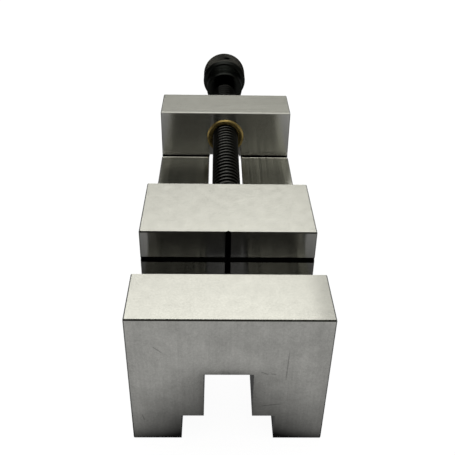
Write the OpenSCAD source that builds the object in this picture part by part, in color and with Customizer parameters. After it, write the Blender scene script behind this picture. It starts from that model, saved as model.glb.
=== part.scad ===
// Precision grinding vise: a ground steel body with a fixed jaw, a sliding jaw held down
// in the bed's stepped slot, and a trapezoidal lead screw that turns in a bronze nut.
// Millimetres. +X right, +Y away from the fixed jaw along the screw, +Z up.
// The origin is under the middle of the whole vise, on the plane that it stands on.

/* [Body] */
// Width of the body and of both jaws
body_w = 88; // [70:1:120]
// Length of the body, from the front face to the back of the screw block
body_l = 240; // [215:1:320]
// Height of the bed that the jaw slides on
bed_h = 42.5; // [38:0.5:60]
// Height of the jaws above the bed
jaw_h = 31.5; // [28:0.5:45]
// Thickness of the fixed jaw
fixed_jaw_t = 31; // [20:1:45]
// Thickness of the screw block at the back
screw_block_t = 32; // [24:1:45]
// Width of the grinding relief at the foot of each upright face
relief_w = 4; // [2:0.5:6]
// Depth of the grinding relief below the bed
relief_d = 2.5; // [0.5:0.25:4]
// Chamfer on the ground edges
edge_break = 0.6; // [0.2:0.1:1]

/* [Guide slot] */
// Width of the slot that guides the jaw's tongue
slot_w = 22; // [20:0.5:26]
// Width of the channel under the slot
channel_w = 43; // [36:0.5:50]
// Height of the channel
channel_h = 16; // [14:0.5:18]

/* [Movable jaw] */
// Opening between the jaws in this model
jaw_opening = 33; // [0:1:80]
// Thickness of the movable jaw along the screw
jaw_t = 48; // [42:1:60]
// Width of the upright vee groove at its mouth
upright_vee_w = 3; // [1:0.25:5]
// Width of the level vee groove at its mouth
level_vee_w = 3.3; // [1:0.1:5]
// Height of the level vee groove above the bed
level_vee_z = 14.7; // [8:0.1:20]
// Length of the parallel bore that takes the end of the screw
journal_bore_l = 30; // [26:0.5:34]

/* [Hold-down plate] */
// Thickness of the plate under the tongue
plate_t = 12; // [10:0.5:12.5]
// Distance from each end of the plate to the jaw's own face
plate_inset = 2; // [1:0.5:4]
// Distance between the two plate screws
plate_screw_pitch = 32; // [26:1:34]
// Diameter of the plate screws' shanks
plate_screw_d = 6; // [5:0.5:6]
// Length of the plate screws under their heads
plate_screw_l = 20; // [16:1:22]
// Diameter of the plate screws' heads
plate_screw_head_d = 10; // [9:0.5:11]
// Height of the plate screws' heads
plate_screw_head_h = 6; // [4:0.5:6]
// Width across the flats of the plate screws' sockets
plate_screw_key = 5; // [4:0.5:5]
// Thickness of the washers under the heads
plate_washer_t = 1; // [0.5:0.1:1.5]

/* [Lead screw] */
// Outside diameter of the trapezoidal thread
thread_d = 17; // [14:0.5:17.5]
// Pitch of the thread
thread_pitch = 4; // [3:0.5:5]
// Extra depth of the thread's groove past half the pitch
thread_root_gap = 0.25; // [0.1:0.05:0.5]
// Height of the screw's axis above the bed
screw_over_bed = 13.8; // [13:0.1:16]
// Gap between the knob and the screw block with the jaws closed
knob_standoff = 21; // [5:1:60]
// Diameter of the journal that turns in the movable jaw
journal_d = 11; // [9:0.25:11.5]
// Diameter at the bottom of the journal's retaining groove
groove_d = 8; // [7:0.25:9]
// Distance from the jaw's back face to the middle of the groove
groove_setback = 14; // [10:0.5:17]
// Length of plain neck between the jaw's back face and the thread
neck_l = 5; // [2:0.5:8]
// Diameter of the spigot that carries the knob
spigot_d = 10; // [9:0.25:11]
// Distance that the spigot reaches into the knob's head
spigot_reach = 2.5; // [1:0.5:4]
// Diameter of the thrust ball in front of the screw
ball_d = 7; // [6:0.5:8]
// Diameter of the pins that hold the screw's end in the jaw
retaining_pin_d = 4; // [3:0.5:4.5]
// Length of the retaining pins
retaining_pin_l = 24; // [20:0.5:26]

/* [Nut] */
// Outside diameter of the nut's flange
nut_flange_d = 25; // [24:0.25:26]
// Thickness of the nut's flange
nut_flange_t = 3; // [2:0.25:5]
// Height of the flange's lip in front of the screw block
nut_lip = 1; // [0.5:0.25:1.75]
// Outside diameter of the nut's body
nut_body_d = 22; // [20:0.5:23]
// Diameter of the nut's lead-in countersink
nut_lead_d = 18.5; // [18:0.25:19]
// Diameter of the grub screw that locks the nut
lock_screw_d = 3; // [3:0.5:4]
// Length of the grub screw
lock_screw_l = 8; // [6:0.5:12]
// Width across the flats of the grub screw's socket
lock_screw_key = 1.5; // [1.5:0.25:2]

/* [Knob] */
// Diameter of the knob's plain collar
collar_d = 28; // [24:0.5:30]
// Length of the collar
collar_l = 18.5; // [14:0.5:22]
// Diameter of the knob's head
head_d = 34.25; // [33:0.25:44]
// Length of the head
head_l = 21; // [18:0.5:26]
// Bevel round the front of the head
head_bevel = 2; // [1:0.25:3]
// Chamfer on the knob's other edges
knob_chamfer = 1; // [0.5:0.1:2]
// Diameter of the four tommy bar holes in the head
tommy_d = 5; // [4:0.25:6]
// Distance from the front of the head to the middle of the tommy bar holes
tommy_setback = 8; // [7:0.5:10]
// Turn of the first tommy bar hole from the vertical
tommy_turn = 7; // [0:1:45]
// Diameter of the pin through the collar
knob_pin_d = 4; // [3:0.5:5]
// Mouth diameter of the centre hole in the end of the head
centre_d = 5; // [3:0.5:8]

/* [Fits] */
// Clearance beside a sliding face
slide_gap = 0.05; // [0.02:0.01:0.1]
// Radial clearance of the screw in its bores
running_gap = 0.1; // [0.05:0.01:0.1]
// Radial clearance of a pressed or screwed piece
seat_gap = 0.02; // [0.01:0.01:0.04]
// Clearance at the faces that limit the screw's end play
end_gap = 0.2; // [0.1:0.05:0.3]
// Clearance round the heads of the plate screws
head_gap = 0.5; // [0.25:0.05:0.75]

/* [Hidden] */
$fn = 96;

// How far a cut runs past the face that it opens
cut = 1;
// Half the point angle of a drill
drill_angle = 59;
// Half the angle of a centre drill
centre_angle = 30;
// Half the angle of the jaw's vee grooves
vee_angle = 45;
// Half the angle between the flanks of the trapezoidal thread
flank_angle = 15;
// Flat sides that make up one turn of the thread
thread_sides = 18;
// Share of a turn over which the thread rises out of the shaft
thread_fade_share = 1 / 3;
// Sides of a hexagon socket
hex_sides = 6;

// Heights
body_h = bed_h + jaw_h;
screw_z = bed_h + screw_over_bed;
tongue_z = channel_h - slide_gap;
sole_z = bed_h + slide_gap;
plate_z = tongue_z - plate_t;

// Stations along the screw, from the front face of the body
jaw_face_y = fixed_jaw_t + jaw_opening;
jaw_back_y = jaw_face_y + jaw_t;
jaw_mid_y = jaw_face_y + jaw_t / 2;
block_face_y = body_l - screw_block_t;
bore_end_y = jaw_back_y - journal_bore_l;
groove_y = jaw_back_y - groove_setback;
thread_y = jaw_back_y + neck_l;
thread_end_y = jaw_back_y + body_l - fixed_jaw_t - jaw_t + knob_standoff;
head_y = thread_end_y + collar_l;
overall_l = head_y + head_l;
tommy_y = head_y + tommy_setback;

// The end of the screw, its ball and its drilled seat
journal_bore_d = journal_d + 2 * running_gap;
drill_tip_y = bore_end_y - journal_bore_d / 2 / tan(drill_angle);
ball_y = drill_tip_y + ball_d / 2 / sin(drill_angle) + seat_gap;
nose_y = ball_y + ball_d / 2 + running_gap;
retaining_pin_x = groove_d / 2 + running_gap + retaining_pin_d / 2;
retaining_hole_d = retaining_pin_d + 2 * seat_gap;
groove_l = retaining_pin_d + 2 * end_gap;

// Thread: radii, and half the ridge's width at its root and at its crest
thread_r = thread_d / 2;
thread_root_r = thread_r - thread_pitch / 2 - thread_root_gap;
thread_mid_r = thread_r - thread_pitch / 4;
ridge_root_half = thread_pitch / 4 + (thread_mid_r - thread_root_r) * tan(flank_angle);
ridge_crest_half = thread_pitch / 4 - (thread_r - thread_mid_r) * tan(flank_angle);
thread_lead_in = thread_pitch / 2 - ridge_root_half;
thread_turns = floor((thread_end_y - thread_y - 2 * thread_lead_in) / thread_pitch) - 1;
thread_l = (thread_turns + 1) * thread_pitch + 2 * thread_lead_in;

// The neck and the plain shaft behind the thread both reach a little into the thread
neck_end_y = thread_y + thread_lead_in / 2;
shaft_y = thread_y + thread_l - thread_lead_in / 2;
shaft_r = (thread_root_r + spigot_d / 2) / 2;
spigot_l = collar_l + spigot_reach;
spigot_end_y = thread_end_y + spigot_l;

// Plate screws, washers and their counterbores
plate_bore_d = plate_screw_d + 2 * head_gap;
plate_counterbore_d = plate_screw_head_d + 2 * head_gap;
plate_counterbore_h = plate_screw_head_h + plate_washer_t + head_gap;
plate_seat_z = plate_z + plate_counterbore_h;
plate_tap_l = plate_screw_l - (plate_t - plate_counterbore_h) - plate_washer_t;
tap_spare = 2;

// Nut seat and its lock
nut_y = block_face_y - nut_lip;
nut_shoulder_y = nut_y + nut_flange_t;
nut_bore_d = thread_d + 2 * running_gap;
lock_hole_d = lock_screw_d + 2 * seat_gap;
lock_end_y = body_l - edge_break;
lock_y = lock_end_y - lock_screw_l;

spigot_bore_d = spigot_d + 2 * seat_gap;
knob_pin_l = collar_d - 2 * edge_break;
knob_pin_y = thread_end_y + collar_l / 2;

// Puts the origin under the middle of the vise
module in_frame() translate([0, -overall_l / 2, 0]) children();

// Turns a shape that stands on Z so that it lies along Y, on the screw's axis
module on_screw_axis(y) translate([0, y, screw_z]) rotate([-90, 0, 0]) children();

// Rectangle with its four corners cut off
module broken_rectangle(a, b, c)
    polygon([
        [c, 0], [a - c, 0], [a, c], [a, b - c],
        [a - c, b], [c, b], [0, b - c], [0, c]
    ]);

// Ground block with every edge broken, centred across X, from zero along Y and Z
module ground_block(w, l, h, c)
    intersection() {
        linear_extrude(h) translate([-w / 2, 0]) broken_rectangle(w, l, c);
        translate([0, l, 0]) rotate([90, 0, 0]) linear_extrude(l)
            translate([-w / 2, 0]) broken_rectangle(w, h, c);
        translate([-w / 2, 0, 0]) rotate([90, 0, 90]) linear_extrude(w)
            broken_rectangle(l, h, c);
    }

// Square bar on its edge along Y, which breaks the edges of a slot of width w
module slot_edge_cut(w, c, l)
    translate([0, l, 0]) rotate([90, 0, 0]) linear_extrude(l)
        polygon([[-w / 2 - c, 0], [w / 2 + c, 0], [w / 2, -c], [-w / 2, -c]]);

// Box centred across X
module centred_box(w, l, h) translate([-w / 2, 0, 0]) cube([w, l, h]);

// Cylinder with both end edges broken
module broken_cylinder(d, l, c)
    rotate_extrude()
        polygon([
            [0, 0], [d / 2 - c, 0], [d / 2, c],
            [d / 2, l - c], [d / 2 - c, l], [0, l]
        ]);

// Socket cap screw, pointing up, with the underside of its head at zero
module cap_screw()
    difference() {
        union() {
            cylinder(d = plate_screw_d, h = plate_screw_l);
            mirror([0, 0, 1])
                broken_cylinder(plate_screw_head_d, plate_screw_head_h, plate_screw_head_h / 10);
        }
        translate([0, 0, -plate_screw_head_h - cut])
            cylinder(d = plate_screw_key / cos(180 / hex_sides), h = plate_screw_head_h / 2 + cut,
                $fn = hex_sides);
    }

module body()
    color("#c9c8c2") in_frame() difference() {
        union() {
            ground_block(body_w, body_l, bed_h, edge_break);
            ground_block(body_w, fixed_jaw_t, body_h, edge_break);
            translate([0, block_face_y, 0])
                ground_block(body_w, screw_block_t, body_h, edge_break);
        }
        // Guide slot, and the wider channel below it
        translate([0, -cut, -cut]) centred_box(slot_w, body_l + 2 * cut, bed_h + cut);
        translate([0, -cut, -cut]) centred_box(channel_w, body_l + 2 * cut, channel_h + cut);
        translate([0, fixed_jaw_t, bed_h])
            slot_edge_cut(slot_w, edge_break, block_face_y - fixed_jaw_t);
        // Grinding reliefs at the feet of the fixed jaw and the screw block
        for (y = [fixed_jaw_t, block_face_y - relief_w])
            translate([0, y, bed_h - relief_d])
                centred_box(body_w + 2 * cut, relief_w, relief_d + cut);
        // Stepped bore for the nut
        on_screw_axis(block_face_y - cut) cylinder(d = nut_body_d + 2 * seat_gap, h = screw_block_t + 2 * cut);
        on_screw_axis(block_face_y - cut)
            cylinder(d = nut_flange_d + 2 * seat_gap, h = nut_shoulder_y - block_face_y + cut);
        lock_hole();
    }

// Tapped hole on the joint between the nut and the block, half in each
module lock_hole()
    translate([nut_body_d / 2, 0, 0]) on_screw_axis(lock_y)
        cylinder(d = lock_hole_d, h = body_l - lock_y + cut);

module movable_jaw()
    color("#b9b8b1") in_frame() difference() {
        translate([0, jaw_face_y, 0]) union() {
            translate([0, 0, sole_z])
                ground_block(body_w, jaw_t, body_h - sole_z, edge_break);
            translate([0, 0, tongue_z])
                centred_box(slot_w - 2 * slide_gap, jaw_t, sole_z + edge_break - tongue_z);
        }
        // Upright and level vee grooves in the jaw's face
        translate([0, jaw_face_y, tongue_z - cut]) linear_extrude(body_h - tongue_z + 2 * cut)
            vee(upright_vee_w);
        translate([-body_w / 2 - cut, jaw_face_y, bed_h + level_vee_z])
            rotate([90, 0, 90]) linear_extrude(body_w + 2 * cut) rotate(-90) vee(level_vee_w);
        // Blind bore for the screw's journal, with a drilled end for the thrust ball
        on_screw_axis(bore_end_y) cylinder(d = journal_bore_d, h = journal_bore_l + cut);
        on_screw_axis(drill_tip_y)
            cylinder(d1 = 0, d2 = journal_bore_d, h = bore_end_y - drill_tip_y);
        // Holes for the retaining pins, drilled up from under the tongue
        for (side = [-1, 1])
            translate([side * retaining_pin_x, groove_y, tongue_z - cut])
                cylinder(d = retaining_hole_d,
                    h = screw_z + retaining_pin_l / 2 + seat_gap - tongue_z + cut);
        // Tapped holes for the plate screws
        for (side = [-1, 1])
            translate([0, jaw_mid_y + side * plate_screw_pitch / 2, tongue_z - cut])
                cylinder(d = plate_screw_d + 2 * seat_gap, h = plate_tap_l + tap_spare + cut);
    }

// Vee section, open towards minus Y, with its mouth of width w on the X axis
module vee(w)
    polygon([
        [-w / 2 - cut, -cut], [w / 2 + cut, -cut], [w / 2, 0],
        [0, w / 2 / tan(vee_angle)], [-w / 2, 0]
    ]);

module hold_down_plate()
    color("#8f8e88") in_frame() difference() {
        translate([0, jaw_face_y + plate_inset, plate_z])
            ground_block(channel_w - 2 * head_gap, jaw_t - 2 * plate_inset, plate_t, edge_break);
        for (side = [-1, 1])
            translate([0, jaw_mid_y + side * plate_screw_pitch / 2, plate_z - cut]) {
                cylinder(d = plate_bore_d, h = plate_t + 2 * cut);
                cylinder(d = plate_counterbore_d, h = plate_counterbore_h + cut);
            }
    }

// Plate screw with its head on its washer, on the front or rear side of the jaw's middle
module plate_screw(side)
    color("#26272a") in_frame()
        translate([0, jaw_mid_y + side * plate_screw_pitch / 2, plate_seat_z - plate_washer_t])
            cap_screw();

module plate_washer(side)
    color("#55565a") in_frame()
        translate([0, jaw_mid_y + side * plate_screw_pitch / 2, plate_seat_z - plate_washer_t])
            difference() {
                cylinder(d = plate_screw_head_d, h = plate_washer_t);
                translate([0, 0, -cut])
                    cylinder(d = plate_screw_d + head_gap, h = plate_washer_t + 2 * cut);
            }

// Turned screw: nose and grooved journal, neck, right-handed thread, spigot for the knob
module lead_screw()
    color("#232427") in_frame() difference() {
        union() {
            on_screw_axis(nose_y) rotate_extrude() polygon([
                [0, 0],
                [journal_d / 2 - edge_break, 0],
                [journal_d / 2, edge_break],
                [journal_d / 2, groove_y - groove_l / 2 - nose_y],
                [groove_d / 2, groove_y - groove_l / 2 - nose_y],
                [groove_d / 2, groove_y + groove_l / 2 - nose_y],
                [journal_d / 2, groove_y + groove_l / 2 - nose_y],
                [journal_d / 2, neck_end_y - nose_y],
                [0, neck_end_y - nose_y]
            ]);
            // The ridge starts at the top of the screw
            on_screw_axis(thread_y) rotate(-90) threaded_rod();
            on_screw_axis(shaft_y) rotate_extrude() polygon([
                [0, 0],
                [shaft_r, 0],
                [shaft_r, thread_end_y - shaft_y],
                [spigot_d / 2, thread_end_y - shaft_y],
                [spigot_d / 2, spigot_end_y - edge_break - shaft_y],
                [spigot_d / 2 - edge_break, spigot_end_y - shaft_y],
                [0, spigot_end_y - shaft_y]
            ]);
        }
        knob_pin_hole(spigot_d);
    }

// Threaded rod along Z from zero. Each step of the helix has the four corners of the ridge,
// and the foot of one turn is joined to the foot of the next. Both ends are bare rings.
module threaded_rod() {
    n = thread_sides;
    steps = thread_turns * n;
    foot = thread_root_r;
    rises = [
        0, ridge_root_half - ridge_crest_half,
        ridge_root_half + ridge_crest_half, 2 * ridge_root_half
    ];
    corners = len(rises);
    strip_points = corners * (steps + 1);
    low_ring = strip_points + n;
    high_ring = low_ring + n;

    // Number of a corner, and of the foot that starts the helix at a step
    function seam(step) = step <= steps ? corners * step : strip_points + step - steps - 1;
    function corner(step, i) = i == corners ? seam(step + n) : corners * step + i;
    function height(step) = min(1, step / n / thread_fade_share, (steps - step) / n / thread_fade_share);
    function radius(step, i) = foot + (i == 1 || i == 2 ? height(step) * (thread_r - foot) : 0);
    function at(radius, step, z) = [
        radius * cos(360 * step / n), radius * sin(360 * step / n), z
    ];
    function helix_z(step) = thread_lead_in + thread_pitch * step / n;

    polyhedron(
        points = [
            for (s = [0:steps], i = [0:corners - 1]) at(radius(s, i), s, helix_z(s) + rises[i]),
            for (s = [steps + 1:steps + n]) at(foot, s, helix_z(s)),
            for (k = [0:n - 1]) at(foot, k, 0),
            for (k = [0:n - 1]) at(foot, k, thread_l)
        ],
        faces = [
            for (s = [0:steps - 1], i = [0:corners - 1]) each [
                [corner(s, i), corner(s, i + 1), corner(s + 1, i + 1)],
                [corner(s, i), corner(s + 1, i + 1), corner(s + 1, i)]
            ],
            for (k = [0:n - 2]) [low_ring + k, seam(k), seam(k + 1), low_ring + k + 1],
            [low_ring + n - 1, seam(n - 1), for (i = [corners:-1:0]) corner(0, i), low_ring],
            for (k = [1:n - 1])
                [seam(steps + k), high_ring + k, high_ring + (k + 1) % n, seam(steps + k + 1)],
            [seam(steps + 1), for (i = [0:corners]) corner(steps, i), high_ring, high_ring + 1],
            [for (k = [0:n - 1]) low_ring + k],
            [for (k = [n - 1:-1:0]) high_ring + k]
        ]
    );
}

// Hole for the knob's pin through a shaft or collar of diameter d
module knob_pin_hole(d)
    translate([0, knob_pin_y, screw_z]) rotate([0, tommy_turn + 90, 0])
        cylinder(d = knob_pin_d + 2 * seat_gap, h = d + 2 * cut, center = true);

module thrust_ball()
    color("#8d9096") in_frame() translate([0, ball_y, screw_z]) sphere(d = ball_d);

// Dowel beside the screw's groove, upright in the jaw
module retaining_pin(side)
    color("#75777b") in_frame()
        translate([side * retaining_pin_x, groove_y, screw_z - retaining_pin_l / 2])
            broken_cylinder(retaining_pin_d, retaining_pin_l, retaining_pin_d / 10);

module lead_nut()
    color("#b58a45") in_frame() difference() {
        on_screw_axis(nut_y) difference() {
            union() {
                broken_cylinder(nut_flange_d, nut_flange_t, edge_break / 2);
                cylinder(d = nut_body_d, h = body_l - nut_y - edge_break);
            }
            translate([0, 0, -cut]) cylinder(d = nut_bore_d, h = body_l - nut_y + 2 * cut);
            cylinder(d1 = nut_lead_d, d2 = nut_bore_d, h = (nut_lead_d - nut_bore_d) / 2);
        }
        lock_hole();
    }

// Socket grub screw, half in the nut and half in the block
module nut_lock_screw()
    color("#2d2e31") in_frame() translate([nut_body_d / 2, 0, 0]) on_screw_axis(lock_y)
        difference() {
            broken_cylinder(lock_screw_d, lock_screw_l, lock_screw_d / 10);
            translate([0, 0, lock_screw_l / 2])
                cylinder(d = lock_screw_key / cos(180 / hex_sides), h = lock_screw_l,
                    $fn = hex_sides);
        }

// Turned knob: plain collar and larger head, bored for the screw's spigot
module knob()
    color("#1f2022") in_frame() difference() {
        on_screw_axis(thread_end_y) rotate_extrude() {
            polygon([
                [0, 0],
                [collar_d / 2 - knob_chamfer, 0],
                [collar_d / 2, knob_chamfer],
                [collar_d / 2, collar_l],
                [head_d / 2 - head_bevel, collar_l],
                [head_d / 2, collar_l + head_bevel],
                [head_d / 2, collar_l + head_l - knob_chamfer],
                [head_d / 2 - knob_chamfer, collar_l + head_l],
                [0, collar_l + head_l]
            ]);
        }
        on_screw_axis(thread_end_y - cut)
            cylinder(d = spigot_bore_d, h = spigot_l + end_gap + cut);
        // Two holes that cross on the knob's axis, square to each other
        for (turn = [tommy_turn, tommy_turn + 90])
            translate([0, tommy_y, screw_z]) rotate([0, turn, 0])
                cylinder(d = tommy_d, h = head_d + 2 * cut, center = true);
        knob_pin_hole(collar_d);
        on_screw_axis(overall_l - centre_d / 2 / tan(centre_angle))
            cylinder(d1 = 0, d2 = centre_d, h = centre_d / 2 / tan(centre_angle));
    }

module knob_pin()
    color("#6f7175") in_frame() translate([0, knob_pin_y, screw_z]) rotate([0, tommy_turn + 90, 0])
        translate([0, 0, -knob_pin_l / 2]) broken_cylinder(knob_pin_d, knob_pin_l, knob_pin_d / 10);

body();
movable_jaw();
hold_down_plate();
plate_screw(-1);  // plate_screw_front
plate_screw(1);  // plate_screw_rear
plate_washer(-1);  // plate_washer_front
plate_washer(1);  // plate_washer_rear
lead_screw();
thrust_ball();
retaining_pin(-1);  // retaining_pin_left
retaining_pin(1);  // retaining_pin_right
lead_nut();
nut_lock_screw();
knob();
knob_pin();
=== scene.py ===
"""Looks of the precision grinding vise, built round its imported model. Metres, +Z up, the screw along +Y.

Turned pieces are drawn in millimetres round their own Z axis and then set in place.
"""

import math

import bmesh
import bpy
from mathutils import Euler, Matrix, Vector


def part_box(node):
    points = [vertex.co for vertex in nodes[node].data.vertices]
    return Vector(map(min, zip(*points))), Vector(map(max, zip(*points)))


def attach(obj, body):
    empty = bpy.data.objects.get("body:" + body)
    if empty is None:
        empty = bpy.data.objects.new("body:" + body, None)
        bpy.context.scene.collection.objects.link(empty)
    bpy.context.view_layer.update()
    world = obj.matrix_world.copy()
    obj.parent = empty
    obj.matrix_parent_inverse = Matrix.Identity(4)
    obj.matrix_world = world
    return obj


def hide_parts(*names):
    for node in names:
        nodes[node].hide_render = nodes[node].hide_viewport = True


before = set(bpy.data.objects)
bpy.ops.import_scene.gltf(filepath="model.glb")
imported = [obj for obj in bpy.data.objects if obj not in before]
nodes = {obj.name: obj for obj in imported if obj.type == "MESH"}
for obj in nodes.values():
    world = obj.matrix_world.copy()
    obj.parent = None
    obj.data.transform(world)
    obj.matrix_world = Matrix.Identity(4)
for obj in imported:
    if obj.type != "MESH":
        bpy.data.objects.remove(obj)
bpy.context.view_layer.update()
MM = 0.001
TAU = 2 * math.pi


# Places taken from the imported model, in millimetres


def span(node):
    """Lowest and highest corner of a node, in millimetres."""
    low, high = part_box(node)
    return low / MM, high / MM


body_low, body_high = span("body")
jaw_low, jaw_high = span("movable_jaw")
screw_low, screw_high = span("lead_screw")
knob_low, knob_high = span("knob")
nut_low, nut_high = span("lead_nut")
AXIS_Z = (knob_low.z + knob_high.z) / 2
THREAD_R = (screw_high.z - screw_low.z) / 2
HEAD_R = (knob_high.x - knob_low.x) / 2
NUT_R = (nut_high.x - nut_low.x) / 2


# Camera

FRAME_PX = 455
FOCAL_PX = 642.25
SENSOR_MM = 36.0
CAMERA_FROM_FRONT = Vector((-6.13, -196.67, 250.56))
CAMERA_TURN = Euler([math.radians(a) for a in (56.312, -0.917, -0.640)], "XYZ")


def make_camera():
    data = bpy.data.cameras.new("photo_camera")
    data.sensor_width = SENSOR_MM
    data.lens = SENSOR_MM * FOCAL_PX / FRAME_PX
    data.clip_start, data.clip_end = 0.01, 20.0
    camera = bpy.data.objects.new("photo_camera", data)
    camera.location = (CAMERA_FROM_FRONT + Vector((0, body_low.y, 0))) * MM
    camera.rotation_euler = CAMERA_TURN
    bpy.context.scene.collection.objects.link(camera)
    bpy.context.scene.camera = camera


# Node helpers

FIELD_RANGE = (0.2, 0.8)


class Graph:
    """Short calls that add and join the nodes of one material or world."""

    def __init__(self, tree):
        self.tree = tree

    def add(self, kind, **values):
        node = self.tree.nodes.new(kind)
        for key, value in values.items():
            if key in node.inputs.keys():
                self.set(node.inputs[key], value)
            else:
                setattr(node, key, value)
        return node

    def set(self, socket, value):
        if isinstance(value, bpy.types.NodeSocket):
            self.tree.links.new(value, socket)
        else:
            socket.default_value = value

    def math(self, operation, a, b=0.0, clamp=False):
        node = self.tree.nodes.new("ShaderNodeMath")
        node.operation = operation
        node.use_clamp = clamp
        self.set(node.inputs[0], a)
        self.set(node.inputs[1], b)
        return node.outputs[0]

    def product(self, *factors):
        result = factors[0]
        for factor in factors[1:]:
            result = self.math("MULTIPLY", result, factor)
        return result

    def total(self, *terms):
        result = terms[0]
        for term in terms[1:]:
            result = self.math("ADD", result, term)
        return result

    def smooth(self, value, low, high, to_low=0.0, to_high=1.0):
        node = self.tree.nodes.new("ShaderNodeMapRange")
        node.interpolation_type = "SMOOTHSTEP"
        for name, v in (("Value", value), ("From Min", low), ("From Max", high),
                        ("To Min", to_low), ("To Max", to_high)):
            self.set(node.inputs[name], v)
        return node.outputs["Result"]

    def ramp(self, value, start, stop, to_start=0.0, to_stop=1.0):
        """Smooth step between two places in millimetres."""
        return self.smooth(value, start * MM, stop * MM, to_start, to_stop)

    def spread(self, field, low, high):
        """Number from low to high as a noise field goes over its usual range."""
        return self.smooth(field, *FIELD_RANGE, low, high)

    def beyond(self, value, place):
        """How far a value is past a place in millimetres, or 0 before it."""
        return self.math("MAXIMUM", self.math("SUBTRACT", value, place * MM), 0.0)

    def complement(self, value):
        return self.math("SUBTRACT", 1.0, value)

    def blend(self, factor, a, b):
        """Number between a and b."""
        node = self.tree.nodes.new("ShaderNodeMix")
        node.data_type = "FLOAT"
        self.set(node.inputs[0], factor)
        self.set(node.inputs[2], a)
        self.set(node.inputs[3], b)
        return node.outputs[0]

    def mix(self, factor, a, b):
        """Colour between a and b."""
        node = self.tree.nodes.new("ShaderNodeMix")
        node.data_type = "RGBA"
        self.set(node.inputs[0], factor)
        self.set(node.inputs[6], a)
        self.set(node.inputs[7], b)
        return node.outputs[2]

    def tint(self, color, level):
        """Colour made lighter or darker by a number."""
        node = self.tree.nodes.new("ShaderNodeVectorMath")
        node.operation = "SCALE"
        self.set(node.inputs[0], color)
        self.set(node.inputs["Scale"], level)
        return node.outputs[0]

    def split(self, vector):
        node = self.add("ShaderNodeSeparateXYZ", Vector=vector)
        return node.outputs[0], node.outputs[1], node.outputs[2]

    def noise(self, vector, scale, detail=2.0, roughness=0.5):
        return self.add("ShaderNodeTexNoise", Vector=vector, Scale=scale, Detail=detail,
                        Roughness=roughness).outputs["Fac"]

    def grain(self, where, size, detail=3.0, roughness=0.6):
        """Noise field round 0.5 with grains of a size in millimetres."""
        return self.noise(where, 1 / (size * MM), detail, roughness)

    def stretched(self, vector, scale):
        return self.add("ShaderNodeMapping", Vector=vector, Scale=scale).outputs["Vector"]


# World and floor

# The overhead light is a round panel that leans back over the vise and is weaker toward the right
OVERHEAD_LEAN = math.radians(13)
OVERHEAD_AXIS = Vector((0.0, math.sin(OVERHEAD_LEAN), math.cos(OVERHEAD_LEAN)))
OVERHEAD_EDGE = (math.cos(math.radians(43)), math.cos(math.radians(40)))
OVERHEAD = (1.60, 1.595, 1.50)
RIGHT_FALL = (0.13, 0.24, 1.0, 0.55)
DIM_SIDES = (-0.10, 0.10)
DIM_LEVELS = (0.05, 0.135)
DIM_TINT = (1.0, 1.0, 0.86)
WHITE = (1.0, 1.0, 1.0, 1.0)

# The floor as the metal sees it, with its places in millimetres from the sides or ends of the vise
# It glows with a painted shadow round the vise and a painted glow under the screw behind it
FLOOR_LIT = 0.385
FLOOR_DARK = 0.008
DARK_START = 3.0
DARK_REACH = 50.0
DARK_POWER = 1.3
FLANK_SHARE = 1.2
FLANK_FADE = (2.0, 12.0)
FLANK_AHEAD = 0.6
OUTWARD_SHARE = 0.6
OUTWARD_FADE = (58.0, 48.0)
OUTWARD_PAST = (-5.0, 8.0)
CHANNEL_HALF = 21.5
UNDER_SOFT = 1.0
DARK_UNDER = 0.05
AHEAD_HALF = (12.5, 10.5)
AHEAD_REACH = (45.0, 38.0)
DARK_AHEAD = 0.02
GLOW_BEHIND = (-8.0, 50.0)
GLOW_HALF = (15.0, 13.0)
GLOW_SOFT = 4.0
SLOT_GLOW = 1.1

# The floor as the camera sees it, and its size in metres
FLOOR_GLOW = 0.955
FLOOR_SHADE = (0.12, 0.12, 0.12, 1.0)
FLOOR_REACH = 3.0


def make_world():
    """A bright soft light overhead in a dim room. The camera sees white."""
    world = bpy.data.worlds.new("studio")
    bpy.context.scene.world = world
    world.use_nodes = True
    world.node_tree.nodes.clear()
    g = Graph(world.node_tree)
    direction = g.add("ShaderNodeTexCoord").outputs["Generated"]
    x = g.split(direction)[0]
    along = g.add("ShaderNodeVectorMath", operation="DOT_PRODUCT")
    g.set(along.inputs[0], direction)
    along.inputs[1].default_value = OVERHEAD_AXIS
    overhead = g.smooth(along.outputs["Value"], *OVERHEAD_EDGE)
    dim = g.tint(DIM_TINT, g.smooth(x, *DIM_SIDES, *DIM_LEVELS))
    color = g.mix(overhead, dim, g.tint(OVERHEAD, g.smooth(x, *RIGHT_FALL)))
    seen = g.add("ShaderNodeLightPath").outputs["Is Camera Ray"]
    light = g.add("ShaderNodeBackground", Color=g.mix(seen, color, WHITE), Strength=1.0)
    out = g.add("ShaderNodeOutputWorld")
    g.set(out.inputs["Surface"], light.outputs[0])


def between(g, value, low, high, soft):
    """1 from low to high, with soft ends inside them."""
    return g.product(g.smooth(value, low, low + soft), g.smooth(value, high, high - soft))


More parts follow.
